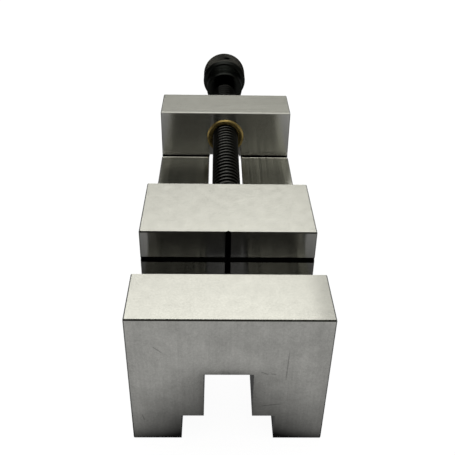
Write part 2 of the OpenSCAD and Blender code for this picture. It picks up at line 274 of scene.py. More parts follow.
def painted_floor_level(g):
    """Painted brightness of the floor to the metal: a painted shadow round the vise, darkest under and ahead
    of its channel.
    """
    x, y = g.split(g.add("ShaderNodeTexCoord").outputs["Object"])[:2]
    x = g.math("ABSOLUTE", x)
    side = body_high.x
    middle = (body_low.y + body_high.y) / 2
    half = (body_high.y - body_low.y) / 2
    along = g.math("ABSOLUTE", g.math("SUBTRACT", y, middle * MM))

    # Distance off the vise, to which its solid corners past the channel add
    off_x = g.product(g.beyond(x, side), FLANK_SHARE)
    past_side = g.ramp(x, *(side + place for place in FLANK_FADE), 1.0, FLANK_AHEAD)
    off_y = g.product(g.beyond(along, half), past_side)
    off = g.math("SQRT", g.total(g.product(off_x, off_x), g.product(off_y, off_y)))
    outward = g.beyond(g.math("MINIMUM", x, side * MM), CHANNEL_HALF)
    outward = g.product(outward, OUTWARD_SHARE, g.ramp(x, *OUTWARD_FADE),
                        g.ramp(along, *(half + place for place in OUTWARD_PAST)))
    away = g.math("SUBTRACT", g.total(off, outward), DARK_START * MM)
    reach = g.math("DIVIDE", away, (DARK_REACH - DARK_START) * MM, clamp=True)
    lit = g.complement(g.math("POWER", g.complement(reach), DARK_POWER))
    level = g.blend(lit, FLOOR_DARK, FLOOR_LIT)

    ahead = g.product(g.ramp(x, *AHEAD_HALF), g.ramp(y, *(middle - half - place for place in AHEAD_REACH)))
    level = g.blend(ahead, level, DARK_AHEAD)
    under = g.product(*(g.ramp(place, limit, limit - UNDER_SOFT)
                        for place, limit in ((x, CHANNEL_HALF), (along, half))))
    level = g.blend(under, level, DARK_UNDER)

    # Painted glow: a bright stretch under the screw behind the vise, which the walls of the slot reflect
    low, high = ((middle + half + place) * MM for place in GLOW_BEHIND)
    glow = g.product(between(g, y, low, high, GLOW_SOFT * MM), g.ramp(x, *GLOW_HALF))
    return g.blend(glow, level, SLOT_GLOW)


def make_floor():
    """A pale floor. To the camera it is white, with a faint shadow under the vise."""
    mesh = bpy.data.meshes.new("floor")
    r = FLOOR_REACH
    mesh.from_pydata([(-r, -r, 0), (r, -r, 0), (r, r, 0), (-r, r, 0)], [], [(0, 1, 2, 3)])
    floor = bpy.data.objects.new("floor", mesh)
    bpy.context.scene.collection.objects.link(floor)
    material = bpy.data.materials.new("floor")
    material.use_nodes = True
    material.node_tree.nodes.clear()
    g = Graph(material.node_tree)
    # To the metal the floor is only this glow, whose strength holds the painted shadow and the painted glow
    plain = g.add("ShaderNodeEmission", Color=WHITE, Strength=painted_floor_level(g))
    shade = g.add("ShaderNodeBsdfDiffuse", Color=FLOOR_SHADE)
    white = g.add("ShaderNodeEmission", Color=WHITE, Strength=FLOOR_GLOW)
    both = g.add("ShaderNodeAddShader")
    g.set(both.inputs[0], shade.outputs[0])
    g.set(both.inputs[1], white.outputs[0])
    seen = g.add("ShaderNodeLightPath").outputs["Is Camera Ray"]
    pick = g.add("ShaderNodeMixShader")
    g.set(pick.inputs[0], seen)
    g.set(pick.inputs[1], plain.outputs[0])
    g.set(pick.inputs[2], both.outputs[0])
    out = g.add("ShaderNodeOutputMaterial")
    g.set(out.inputs["Surface"], pick.outputs[0])
    mesh.materials.append(material)


# Places on the ground blocks, in millimetres

JAW_H = 31.5
JAW_T = 31.0
BLOCK_T = 32.0
RELIEF_W = 4.0
LEVEL_VEE_UP = 14.7
VEE_HALF = 1.65
BED_Z = body_high.z - JAW_H
FIXED_JAW_Y = body_low.y + JAW_T
LIP_Y = body_high.y - BLOCK_T - RELIEF_W
RELIEFS = (FIXED_JAW_Y + RELIEF_W / 2, LIP_Y + RELIEF_W / 2)
LEVEL_VEE_Z = BED_Z + LEVEL_VEE_UP


# Ground steel. Levels are factors on its colour, swings are how far a level goes round 1, and lines
# are their spacings in millimetres along each axis. Fades are two places and the levels there. Borders
# are the soft ends of a zone. Noises are a detail and a roughness, with a size in millimetres before them
# for speckles.

STEEL = (0.70, 0.695, 0.655)
FLAT = (0.80, 0.95)
SLANTED = (0.5, 0.65)
BORDER = 1.0
FINE_BORDER = 0.1
LINE_NOISE = (3.0, 0.6)
SPECKLE_FINE = (1.0, 3.0, 0.65)
SPECKLE_BROAD = (5.0, 2.0, 0.5)
SPECKLE_BLEND = 0.3
LINES_BLEND = 0.45
UPRIGHT_LINES = (0.7, 20, 24)
LEVEL_LINES = (24, 20, 0.7)
LENGTHWISE_LINES = (0.6, 40, 0.6)
CROSSWISE_LINES = (26, 0.55, 20)
BED_STREAKS = (1.3, 90, 1.3)
BROAD_SHARE = 0.31
TOP_SWING = 0.40
SIDE_SWING = 0.10
# Painted shade on the broken edges
EDGE_PAINTED_SHADE = 0.3

# Painted shade: the tops of the rear block and the fixed jaw darker toward the right
REAR_TOP_PAINTED_SHADE = (-30, 40, 0.95, 0.86)
FIXED_TOP_PAINTED_SHADE = (33, 42, 1.0, 0.80)
BED_SWING = 1.4
BED_LEVEL = 0.85
# Painted light on the two outer sides of the bed
BED_SIDES = ((37, 43), (-36, -43))
BED_SIDE_PAINTED_LIGHT = 3.0
BED_SIDE_ACROSS = 0.65
# Painted shade on the front part of the bed, lighter toward the right, and painted light on its rear part by
# the block
BED_PAINT_SPAN = (12, 34)
BED_FRONT_PAINTED_SHADE = (-20, 20, 0.46, 0.72)
BED_REAR_PAINTED_LIGHT = 1.08
BLOCK_SWING = 0.10
# Painted light on the screw block's face and on the channel's walls, and painted shade on the fixed jaw's
# inner face
BLOCK_PAINTED_LIGHT = 1.43
WALL_PAINTED_LIGHT = 1.43
INNER_PAINTED_SHADE = 0.45
FRONT_SWINGS = (0.22, 0.24, 0.35)
FRONT_LEVEL = 0.985
STAIN_SIZE = 16
SCRATCH_LEVEL = 0.6
SCRATCH_HALF = 0.45
SCRATCHES = (((-33.0, 59.5), (-28.0, 55.0)), ((13.5, 44.5), (17.5, 42.5)), ((18.0, 43.2), (21.0, 42.8)),
             ((25.6, 58.0), (25.0, 38.0)), ((14.0, 22.5), (25.0, 24.2)), ((-39.3, 17.5), (-38.0, 12.5)))
# Band at the top of the edge over the block's face that keeps no painted shade, in millimetres down from the
# top
UNSHADED_EDGE = (0.22, 0.12)
# Painted shade in the grinding reliefs, painted highlights on the lip at the end of the bed and on its wall
RELIEF_TOP = (0.3, 0.45)
RELIEF_FOOT = (3.2, 2.8)
RELIEF_PAINTED_SHADE = 0.03
LIP_WALL_PAINTED_LIGHT = 1.4
LIP_PAINTED_HIGHLIGHT = 1.6
LIP_W = 0.8
LIP_ROUND = 0.22
REAR_START = (0, 10)
BODY_GRAIN = 0.0006
TOP_GRAIN = 0.0008
BED_GRAIN = 0.0014
BODY_ROUGHNESS = (0.16, 0.20)
FRONT_TOP_DULLER = 0.06
REAR_TOP_DULLER = 0.03
BED_ROUGHNESS = 0.19
WALL_ROUGHNESS = 0.06
BLOCK_ROUGHNESS = 0.17
LIP_WALL_ROUGHNESS = 0.6

# Painted shade on the jaw's faces, on the foot of its face, on its back and in its vee grooves, and a little
# painted light on its top
JAW_FACE_PAINTED_SHADE = 0.68
JAW_FACE_SWING = 0.08
JAW_FOOT_BESIDE = (5, 14)
JAW_FOOT_PAINTED_SHADE = (-10, 10, 0.5, 0.62)
JAW_BACK_PAINTED_SHADE = 0.8
JAW_TOP_PAINTED_LIGHT = 1.07
VEE_PAINTED_SHADE = 0.05
JAW_GRAIN = 0.0005
JAW_TOP_GRAIN = 0.006
JAW_ROUGHNESS = (0.13, 0.17)
JAW_TOP_DULLER = 0.08


def new_material(name):
    material = bpy.data.materials.new(name)
    material.use_nodes = True
    g = Graph(material.node_tree)
    shader = material.node_tree.nodes["Principled BSDF"]
    return material, g, shader


def finish_metal(g, shader, color, level, roughness, height_mm, stretch=0.0, along=None):
    """Sets a metal whose colour follows a level near 1, with its roughness and a relief in millimetres.
    Its reflections are stretched along a direction."""
    shader.inputs["Metallic"].default_value = 1.0
    shader.inputs["Anisotropic"].default_value = stretch
    if along:
        g.set(shader.inputs["Tangent"], along)
    g.set(shader.inputs["Base Color"], g.tint(color, level))
    g.set(shader.inputs["Roughness"], roughness)
    relief = g.add("ShaderNodeBump", Strength=1.0, Distance=MM, Height=height_mm)
    g.set(shader.inputs["Normal"], relief.outputs["Normal"])


class Ground:
    """Fields shared by the ground blocks: where a point is, which way its face looks and grinding lines."""

    def __init__(self, g):
        self.g = g
        coord = g.add("ShaderNodeTexCoord")
        self.where = coord.outputs["Object"]
        self.x, self.y, self.z = g.split(self.where)
        facing = g.split(coord.outputs["Normal"])
        self.on_back = g.smooth(facing[1], *FLAT)
        self.on_side, self.on_end, self.on_top = (g.smooth(g.math("ABSOLUTE", n), *FLAT) for n in facing)
        self.end_ish, self.level_ish = (g.smooth(g.math("ABSOLUTE", n), *SLANTED) for n in facing[1:])

    def lines(self, *spacings):
        """Grinding lines, from line spacings in millimetres along each axis."""
        fine = self.g.noise(self.g.stretched(self.where, [1 / (s * MM) for s in spacings]), 1.0, *LINE_NOISE)
        broad = self.g.noise(self.g.stretched(self.where, [BROAD_SHARE / (s * MM) for s in spacings]), 1.0)
        return self.g.blend(LINES_BLEND, fine, broad)

    def speckle(self):
        """The even, slightly mottled grain of a finely ground face."""
        fine = self.g.grain(self.where, *SPECKLE_FINE)
        broad = self.g.grain(self.where, *SPECKLE_BROAD)
        return self.g.blend(SPECKLE_BLEND, fine, broad)

    def broken_edges(self):
        """1 on the broken edges that slant between two ground faces."""
        flat = self.g.math("MAXIMUM", self.g.math("MAXIMUM", self.on_end, self.on_top), self.on_side)
        return self.g.complement(flat)

    def scratch(self, start, end):
        """1 on a scratch between two points (x, z) of the front face, in millimetres."""
        run = Vector(end) - Vector(start)
        reach = run.length * MM
        run.normalize()
        x = self.g.math("SUBTRACT", self.x, start[0] * MM)
        z = self.g.math("SUBTRACT", self.z, start[1] * MM)
        along = self.g.total(self.g.product(x, run.x), self.g.product(z, run.y))
        beside = self.g.total(self.g.product(x, run.y), self.g.product(z, -run.x))
        near = self.g.ramp(self.g.math("ABSOLUTE", beside), SCRATCH_HALF, 0)
        return self.g.product(near, between(self.g, along, 0.0, reach, reach / 4))

    def smear(self, across=0.0):
        """Way that reflections smear, square to the grinding lines: along the screw on the tops and their
        side edges, across the vise on the edges over the ends and where across is 1, and up elsewhere."""
        across = self.g.math("MAXIMUM", across, self.g.product(self.level_ish, self.end_ish))
        rest = self.g.complement(across)
        return self.g.add("ShaderNodeCombineXYZ", X=across, Y=self.g.product(self.level_ish, rest),
                          Z=self.g.product(self.g.complement(self.level_ish), rest)).outputs["Vector"]

    def reach(self, places, half):
        """1 within half a width of the places along the screw, in millimetres."""
        off = [self.g.math("ABSOLUTE", self.g.math("SUBTRACT", self.y, y * MM)) for y in places]
        return self.g.math("MAXIMUM", *(self.g.ramp(distance, half + FINE_BORDER, half) for distance in off))

    def swing(self, field, amount):
        """Level round 1 that swings by amount with a field round 0.5."""
        return self.g.total(self.g.product(field, 2 * amount), 1 - amount)


def ground_body():
    """The body: fine mottled tops, upright lines on the front, lengthwise lines on the bed and the sides."""
    material, g, shader = new_material("ground_body_steel")
    f = Ground(g)
    past_lip = g.ramp(f.y, LIP_Y, LIP_Y + BORDER)
    on_bed = g.product(f.on_top, g.ramp(f.z, BED_Z + 2 * BORDER, BED_Z + BORDER))
    on_rear = g.product(f.on_top, past_lip, g.complement(on_bed))
    on_fixed = g.product(f.on_top, g.ramp(f.y, FIXED_JAW_Y + 2 * BORDER, FIXED_JAW_Y + BORDER))
    on_front = g.product(f.on_end, g.ramp(f.y, body_low.y + 3 * BORDER, body_low.y + BORDER))
    wall = CHANNEL_HALF + BORDER / 2
    on_wall = g.product(f.on_side, g.ramp(g.math("ABSOLUTE", f.x), wall + BORDER, wall))
    on_block = g.product(f.on_end, g.complement(f.on_back), past_lip)
    on_inner = g.product(f.on_back, g.ramp(f.y, 0, -BORDER))
    rear = g.ramp(f.y, *REAR_START)
    outer = g.math("MAXIMUM", *(g.ramp(f.x, *places) for places in BED_SIDES))
    speckle = f.speckle()
    upright = f.lines(*UPRIGHT_LINES)
    lengthwise = f.lines(*LENGTHWISE_LINES)
    crosswise = f.lines(*CROSSWISE_LINES)
    streaks = f.lines(*BED_STREAKS)
    woven = g.blend(0.5, upright, f.lines(*LEVEL_LINES))

    level = g.blend(f.on_top, 1.0, f.swing(speckle, TOP_SWING))
    # Painted shade: the tops of the rear block and the fixed jaw darker toward the right
    level = g.product(level, g.blend(on_rear, 1.0, g.ramp(f.x, *REAR_TOP_PAINTED_SHADE)),
                      g.blend(on_fixed, 1.0, g.ramp(f.x, *FIXED_TOP_PAINTED_SHADE)))
    # Bed: grinding streaks, with painted light on its outer sides, painted shade on its front part and
    # painted light on its rear part
    bed = g.product(f.swing(streaks, BED_SWING), BED_LEVEL, g.blend(outer, 1.0, BED_SIDE_PAINTED_LIGHT),
                    g.ramp(f.y, *BED_PAINT_SPAN, g.ramp(f.x, *BED_FRONT_PAINTED_SHADE), BED_REAR_PAINTED_LIGHT))
    level = g.blend(on_bed, level, bed)
    # Painted light on the screw block's face
    level = g.blend(on_block, level, g.product(f.swing(woven, BLOCK_SWING), BLOCK_PAINTED_LIGHT))
    fields = (upright, g.grain(f.where, STAIN_SIZE, 4.0), speckle)
    front = g.product(FRONT_LEVEL, *(f.swing(field, swing) for field, swing in zip(fields, FRONT_SWINGS)))
    for start, end in SCRATCHES:
        front = g.product(front, g.blend(f.scratch(start, end), 1.0, SCRATCH_LEVEL))
    level = g.blend(on_front, level, front)
    level = g.blend(f.on_side, level, f.swing(lengthwise, SIDE_SWING))
    # Painted light on the channel's walls and painted shade on the fixed jaw's inner face
    level = g.blend(on_wall, level, WALL_PAINTED_LIGHT)
    level = g.product(level, g.blend(on_inner, 1.0, INNER_PAINTED_SHADE))

    # Painted shade on the broken edges, apart from the upper half of the one over the block's face
    unshaded = g.product(f.end_ish, g.complement(f.on_end), past_lip,
                         g.ramp(f.z, *(body_high.z - down for down in UNSHADED_EDGE)))
    shaded_edges = g.product(f.broken_edges(), g.complement(unshaded))
    level = g.product(level, g.blend(shaded_edges, 1.0, EDGE_PAINTED_SHADE))

    # Grinding reliefs: milled and unpolished, with painted shade that makes them near black
    # Painted highlights on the lip at the end of the bed and on its rough wall, with a bump that rounds the
    # lip
    relief = g.product(g.ramp(f.z, *(BED_Z - down for down in RELIEF_TOP)),
                       g.ramp(f.z, *(BED_Z - down for down in RELIEF_FOOT)),
                       f.reach(RELIEFS, (RELIEF_W + FINE_BORDER) / 2))
    lip_wall = g.product(f.on_back, f.reach([LIP_Y], BORDER / 2))
    lip = g.product(on_bed, g.ramp(f.y, LIP_Y - LIP_W, LIP_Y))
    level = g.product(level, g.blend(relief, 1.0, RELIEF_PAINTED_SHADE))
    level = g.blend(lip_wall, level, LIP_WALL_PAINTED_LIGHT)
    level = g.product(level, g.blend(lip, 1.0, LIP_PAINTED_HIGHLIGHT))
    level = g.math("MINIMUM", level, 1 / max(STEEL))

    grain = g.blend(f.on_top, lengthwise, g.blend(on_bed, g.blend(rear, speckle, crosswise), streaks))
    grain = g.blend(on_block, g.blend(on_front, grain, upright), woven)
    depth = g.blend(f.on_top, BODY_GRAIN, g.blend(on_bed, TOP_GRAIN, BED_GRAIN))
    height = g.total(g.product(grain, depth), g.product(lip, LIP_ROUND))
    duller = g.product(f.on_top, g.blend(rear, FRONT_TOP_DULLER, REAR_TOP_DULLER))
    roughness = g.total(g.spread(grain, *BODY_ROUGHNESS), duller)
    roughness = g.blend(on_bed, roughness, BED_ROUGHNESS)
    roughness = g.blend(on_wall, roughness, WALL_ROUGHNESS)
    roughness = g.blend(on_block, roughness, BLOCK_ROUGHNESS)
    roughness = g.blend(lip_wall, roughness, LIP_WALL_ROUGHNESS)
    across = g.math("MAXIMUM", g.product(on_bed, g.blend(outer, 1.0, BED_SIDE_ACROSS)), on_front)
    finish_metal(g, shader, STEEL, level, roughness, height, 1.0, f.smear(across))
    return material


def vee_flanks(g, f):
    """1 on the flanks of the jaw's vee grooves."""
    level = g.math("ABSOLUTE", g.math("SUBTRACT", f.z, LEVEL_VEE_Z * MM))
    near = g.math("MINIMUM", g.math("ABSOLUTE", f.x), level)
    return g.product(g.ramp(near, VEE_HALF + FINE_BORDER, VEE_HALF), f.broken_edges(),
                     g.ramp(f.y, jaw_low.y + 3 * BORDER, jaw_low.y + 2 * BORDER))


def ground_jaw():
    """The movable jaw: fine mottled top and near mirror faces, whose painted shade makes them darker than
    the body's.
    """
    material, g, shader = new_material("ground_jaw_steel")
    f = Ground(g)
    speckle = f.speckle()
    upright = f.lines(*UPRIGHT_LINES)
    face = g.math("MAXIMUM", f.on_end, g.product(g.complement(f.on_top), g.complement(f.on_side)))
    # Painted shade on the face, more on its foot beside the middle, on the back, the broken edges and the
    # vee grooves; a little painted light on the top
    below_vee = g.ramp(f.z, LEVEL_VEE_Z, LEVEL_VEE_Z - 2 * BORDER)
    on_foot = g.product(below_vee, g.ramp(g.math("ABSOLUTE", f.x), *JAW_FOOT_BESIDE))
    foot = g.blend(on_foot, 1.0, g.ramp(f.x, *JAW_FOOT_PAINTED_SHADE))
    level = g.blend(face, 1.0, g.product(f.swing(upright, JAW_FACE_SWING), foot, JAW_FACE_PAINTED_SHADE))
    level = g.blend(f.on_side, level, f.swing(f.lines(*LENGTHWISE_LINES), SIDE_SWING))
    level = g.product(level, g.blend(f.on_back, 1.0, JAW_BACK_PAINTED_SHADE))
    level = g.blend(f.on_top, level, g.product(f.swing(speckle, TOP_SWING), JAW_TOP_PAINTED_LIGHT))
    level = g.product(level, g.blend(f.broken_edges(), 1.0, EDGE_PAINTED_SHADE),
                      g.blend(vee_flanks(g, f), 1.0, VEE_PAINTED_SHADE))
    grain = g.blend(f.on_end, speckle, upright)
    height = g.product(grain, g.blend(f.on_top, JAW_GRAIN, JAW_TOP_GRAIN))
    roughness = g.total(g.spread(grain, *JAW_ROUGHNESS), g.product(f.on_top, JAW_TOP_DULLER))
    finish_metal(g, shader, STEEL, level, roughness, height, 1.0, f.smear())
    return material


# Other metals. Sizes of grains and spacings of rings are millimetres. Levels and roughnesses go from low
# to high with the grain.

SMALL_SIZE = 0.6
SMALL_LEVELS = (0.9, 1.1)
SMALL_RELIEF = 0.001
MILLED = (0.56, 0.55, 0.53)
MILLED_ROUGHNESS = (0.25, 0.4)
BRIGHT = (0.62, 0.62, 0.61)
BRIGHT_ROUGHNESS = (0.12, 0.25)
BLACK = (0.022, 0.0235, 0.022)
SCREW_BLACK = (0.013, 0.0135, 0.013)
SCREW_ROUGHNESS = (0.22, 0.30)
SCREW_RINGS = 0.9
SCREW_RUBBED = (0.12, 0.12, 0.115)
SCREW_RUB_DEPTH = 0.12
# Painted shade behind the screw block keeps this share of the rubbed crests' colour
SCREW_RUB_AND_SHADE_BEHIND = 0.3
KNOB_ROUGHNESS = (0.28, 0.38)
KNOB_RINGS = 0.8
KNURL_RUBBED = (0.12, 0.115, 0.105)
KNURL_RUB_DEPTH = 0.15
FASTENER_ROUGHNESS = (0.3, 0.45)
RUB_FADE = 15
OXIDE_GRAZING = (0.30, 0.30, 0.30, 1.0)
OXIDE_FACING = (-0.95, -0.99)
OXIDE_POLISHED = 0.10
OXIDE_SIZE = 0.7
OXIDE_LEVELS = (0.8, 1.25)
OXIDE_RINGS_SHARE = 0.25
OXIDE_RELIEF = 0.004
BRONZE = (0.88, 0.66, 0.25)
BRONZE_SIZE = 0.5
BRONZE_LEVELS = (0.92, 1.06)
BRONZE_ROUGHNESS = (0.16, 0.24)
BRONZE_END = (0.4, 0.9)
BRONZE_ROUND_DULLER = 0.30
BRONZE_MOUTH = ((0.95, 0.85), (0.45, 0.6))
BRONZE_MOUTH_ROUGHNESS = 0.5
BRONZE_STRETCH = 0.9
TARNISH_SIZE = 4
TARNISH_FADE = (0.3, 0.8, 0.85, 1.05)


def small_steel(name, color, roughness):
    """Turned or milled steel of the small pieces."""
    material, g, shader = new_material(name)
    grain = g.grain(g.add("ShaderNodeTexCoord").outputs["Object"], SMALL_SIZE)
    finish_metal(g, shader, color, g.spread(grain, *SMALL_LEVELS), g.spread(grain, *roughness),
                 g.product(grain, SMALL_RELIEF))
    return material


def black_oxide(name, color, roughness, rings_mm, rubbed_r=None, rubbed=None, rub_and_shade_behind=1.0):
    """Oiled black oxide with the fine rings that the lathe leaves, with a low roughness on the faces that
    look to the jaws. It is rubbed bright past a radius round the screw's axis, in millimetres. Behind the
    screw block painted shade keeps only a share of that, given by the last argument."""
    material, g, shader = new_material(name)
    coord = g.add("ShaderNodeTexCoord")
    where = coord.outputs["Object"]
    x, y, z = g.split(where)
    facing = g.smooth(g.split(coord.outputs["Normal"])[1], *OXIDE_FACING)
    rings = g.math("SINE", g.product(y, TAU / (rings_mm * MM)))
    grain = g.grain(where, OXIDE_SIZE)
    level = g.spread(grain, *OXIDE_LEVELS)
    shade = g.tint(color, level)
    if rubbed_r:
        up = g.math("SUBTRACT", z, AXIS_Z * MM)
        radius = g.math("SQRT", g.total(g.product(x, x), g.product(up, up)))
        # Rubbed crests, cut back by painted shade behind the screw block
        worn_and_shaded = g.product(g.ramp(radius, rubbed_r - FINE_BORDER, rubbed_r + FINE_BORDER),
                         g.ramp(y, body_high.y, body_high.y + RUB_FADE, 1.0, rub_and_shade_behind))
        shade = g.mix(worn_and_shaded, shade, g.tint(rubbed, level))
    shader.inputs["Metallic"].default_value = 1.0
    shader.inputs["Specular Tint"].default_value = OXIDE_GRAZING
    g.set(shader.inputs["Base Color"], shade)
    g.set(shader.inputs["Roughness"], g.blend(facing, g.spread(grain, *roughness), OXIDE_POLISHED))
    height = g.total(g.product(rings, OXIDE_RINGS_SHARE), grain)
    relief = g.add("ShaderNodeBump", Strength=1.0, Distance=OXIDE_RELIEF * MM, Height=height)
    g.set(shader.inputs["Normal"], relief.outputs["Normal"])
    return material


def turned_bronze():
    """Bronze with a little tarnish, whose fine turning rings smear reflections square to them."""
    material, g, shader = new_material("turned_bronze")
    coord = g.add("ShaderNodeTexCoord")
    where = coord.outputs["Object"]
    x, y, z = g.split(where)
    steep = g.math("ABSOLUTE", g.split(coord.outputs["Normal"])[1])
    on_end = g.smooth(steep, *BRONZE_END)
    mouth = g.product(*(g.smooth(steep, *limits) for limits in BRONZE_MOUTH))
    outward = g.add("ShaderNodeCombineXYZ", X=x, Z=g.math("SUBTRACT", z, AXIS_Z * MM))
    unit = g.add("ShaderNodeVectorMath", operation="NORMALIZE")
    g.set(unit.inputs[0], outward.outputs["Vector"])
    along = g.mix(on_end, (0.0, 1.0, 0.0, 1.0), unit.outputs["Vector"])
    grain = g.grain(where, BRONZE_SIZE)
    tarnish = g.smooth(g.grain(where, TARNISH_SIZE), *TARNISH_FADE)
    level = g.product(g.spread(grain, *BRONZE_LEVELS), tarnish)
    roughness = g.total(g.spread(grain, *BRONZE_ROUGHNESS), g.blend(on_end, BRONZE_ROUND_DULLER, 0.0))
    roughness = g.blend(mouth, roughness, BRONZE_MOUTH_ROUGHNESS)
    height = g.product(grain, SMALL_RELIEF)
    finish_metal(g, shader, BRONZE, level, roughness, height, BRONZE_STRETCH, along)
    return material


# Turned pieces

SCREW_TURN = Matrix(((0, 1, 0), (0, 0, 1), (1, 0, 0))).to_4x4()
SHARP_ANGLE = math.radians(28)
THREAD_FADE = 0.35
THREAD_SEAM = 1 / 40
FLANK_ANGLE = math.radians(15)


def along_screw(y, x=0.0):
    """Stands a turned piece along +Y, on the screw's axis or beside it, with its angle 0 at the top."""
    return Matrix.Translation((x, y, AXIS_Z)) @ SCREW_TURN


class Turned:
    """A closed mesh made of rings round the Z axis, in millimetres, each joined to the one before."""

    def __init__(self, sides):
        self.bm = bmesh.new()
        self.sides = sides
        self.last = None

    def point(self, radius, step, z):
        angle = TAU * step / self.sides
        return self.bm.verts.new((radius * math.cos(angle), radius * math.sin(angle), z))

    def join(self, ring):
        for k in range(self.sides):
            self.bm.faces.new((self.last[k - 1], self.last[k], ring[k], ring[k - 1]))
        self.last = ring

    def rings(self, *profile):
        """Adds rings at (radius, z). The very first one is closed by a flat face."""
        for radius, z in profile:
            ring = [self.point(radius, k, z) for k in range(self.sides)]
            if self.last is None:
                self.bm.faces.new(ring)
                self.last = ring
            else:
                self.join(ring)
        return self

    def close(self):
        self.bm.faces.new(self.last)
        return self

    def flutes(self, radius, depth, low, high):
        """Straight knurl: every second point of the two rings lies in a groove."""
        self.rings((radius - depth, low))
        for z in (low + depth, high - depth):
            self.join([self.point(radius - depth * (k % 2), k, z) for k in range(self.sides)])
        self.rings((radius - depth, high))
        return self

    def knurl(self, radius, depth, low, high):
        """Diamond knurl: pyramids on a chequered lattice, with grooves on its diagonals."""
        step = TAU * radius / self.sides * KNURL_SLANT
        rows = max(2, 2 * round((high - low) / step / 2))
        for j in range(rows + 1):
            z = low + (high - low) * j / rows
            inner = j in (0, rows)
            ring = [self.point(radius - depth * (inner or (j + k) % 2 == 0), k, z)
                    for k in range(self.sides)]
            if j == 0:
                self.join(ring)
                continue
            for k in range(self.sides):
                a, b, c, d = self.last[k - 1], self.last[k], ring[k], ring[k - 1]
                halves = ((a, b, c), (a, c, d)) if (j + k) % 2 == 0 else ((a, b, d), (b, c, d))
                for half in halves:
                    self.bm.faces.new(half)
            self.last = ring
        return self

    def thread(self, z, pitch, turns, profile):
        """Right-handed thread. profile lists (z, radius) over one pitch, from groove to groove, and
        the ridge rises out of the bare shaft and sinks back into it over a part of a turn."""
        n, steps, base = self.sides, turns * self.sides, profile[0][1]

        def height(k):
            return min(1.0, k / (THREAD_FADE * n), (steps - k) / (THREAD_FADE * n))

        self.rings((base, z - pitch * THREAD_SEAM))
        below = self.last
        seam = [self.point(base, k, z + pitch * k / n) for k in range(steps + n + 1)]
        inner = [[self.point(base + (radius - base) * height(k), k, z + pitch * k / n + rise)
                  for rise, radius in profile[1:-1]] for k in range(steps + 1)]
        strips = [[seam[k], *inner[k], seam[k + n]] for k in range(steps + 1)]
        for low, high in zip(strips, strips[1:]):
            for i in range(len(low) - 1):
                self.bm.faces.new((low[i], high[i], high[i + 1], low[i + 1]))
        for k in range(n - 1):
            self.bm.faces.new((below[k], below[k + 1], seam[k + 1], seam[k]))
        self.bm.faces.new((below[n - 1], below[0], *strips[0], seam[n - 1]))
        top_z = z + pitch * (turns + 1 + THREAD_SEAM)
        above = [self.point(base, k, top_z) for k in range(n)]
        for k in range(1, n):
            self.bm.faces.new((seam[steps + k], seam[steps + k + 1], above[(k + 1) % n], above[k]))
        self.bm.faces.new((seam[steps + 1], above[1], above[0], *reversed(strips[-1])))
        self.last = above
        return self


def trapezoid(pitch, crest, root, outward=1, gap=0.0, edge_break=None):
    """Profile of a trapezoidal ridge over one pitch, as (z, radius). edge_break is how far the crest's edges
    are broken, along the axis and inward."""
    mid = (crest + root) / 2 if outward < 0 else crest - pitch / 4
    slope = math.tan(FLANK_ANGLE)

    def half(radius):
        return pitch / 4 - gap + outward * (mid - radius) * slope

    along, inward = edge_break or (0.0, 0.0)
    edge = crest - outward * inward
    rise = [(0, root), (pitch / 2 - half(root), root), (pitch / 2 - half(edge), edge)]
    if edge_break:
        rise.append((pitch / 2 - half(edge) + along, crest))
    return rise + [(pitch - z, radius) for z, radius in reversed(rise)]


def piece_of(name, bm, matrix, material, body, replaced):
    """Turns a mesh in millimetres into a piece in place, smooth except at its sharp edges."""
    bmesh.ops.recalc_face_normals(bm, faces=bm.faces)
    mesh = bpy.data.meshes.new(name)
    bm.to_mesh(mesh)
    bm.free()
    mesh.transform(Matrix.Scale(MM, 4) @ matrix)
    mesh.shade_smooth()
    mesh.set_sharp_from_angle(angle=SHARP_ANGLE)
    mesh.materials.append(material)
    piece = bpy.data.objects.new(name, mesh)
    bpy.context.scene.collection.objects.link(piece)
    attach(piece, body)
    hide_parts(replaced)
    return piece


def cut_out(bm, *cutters):
    """The mesh with the cutters' meshes taken away, all in millimetres."""
    def scratch(source):
        bmesh.ops.recalc_face_normals(source, faces=source.faces)
        mesh = bpy.data.meshes.new("scratch")
        source.to_mesh(mesh)
        source.free()
        made = bpy.data.objects.new("scratch", mesh)
        bpy.context.scene.collection.objects.link(made)
        return made

    solid = scratch(bm)
    tools = [scratch(cutter) for cutter in cutters]
    for tool in tools:
        cut = solid.modifiers.new("cut", "BOOLEAN")
        cut.operation, cut.solver, cut.object = "DIFFERENCE", "EXACT", tool
    bpy.context.view_layer.update()
    evaluated = solid.evaluated_get(bpy.context.evaluated_depsgraph_get())
    result = bmesh.new()
    result.from_mesh(evaluated.to_mesh())
    evaluated.to_mesh_clear()
    for thing in (solid, *tools):
        mesh = thing.data
        bpy.data.objects.remove(thing)
        bpy.data.meshes.remove(mesh)
    return result


# Lead screw

PITCH = 4.0
SCREW_SIDES = 72
CREST_AT_TOP = body_low.y + 131.0
ROOT_R = THREAD_R - 0.5 * PITCH - 0.25
CREST_BREAK = (0.26, 0.19)
JOURNAL_R = 5.5
GROOVE_R = 4.0
GROOVE_L = 4.4
GROOVE_SETBACK = 14.0
NECK_L = 5.0
SPIGOT_R = 5.0
SHAFT_R = (ROOT_R + SPIGOT_R) / 2
SHAFT_START = 1.1
EDGE = 0.6


def thread_start(y):
    """First place after y, on the screw's axis, where the groove between two ridges is at the top."""
    groove = CREST_AT_TOP - PITCH / 2
    return groove - PITCH * math.floor((groove - y) / PITCH + 0.01)


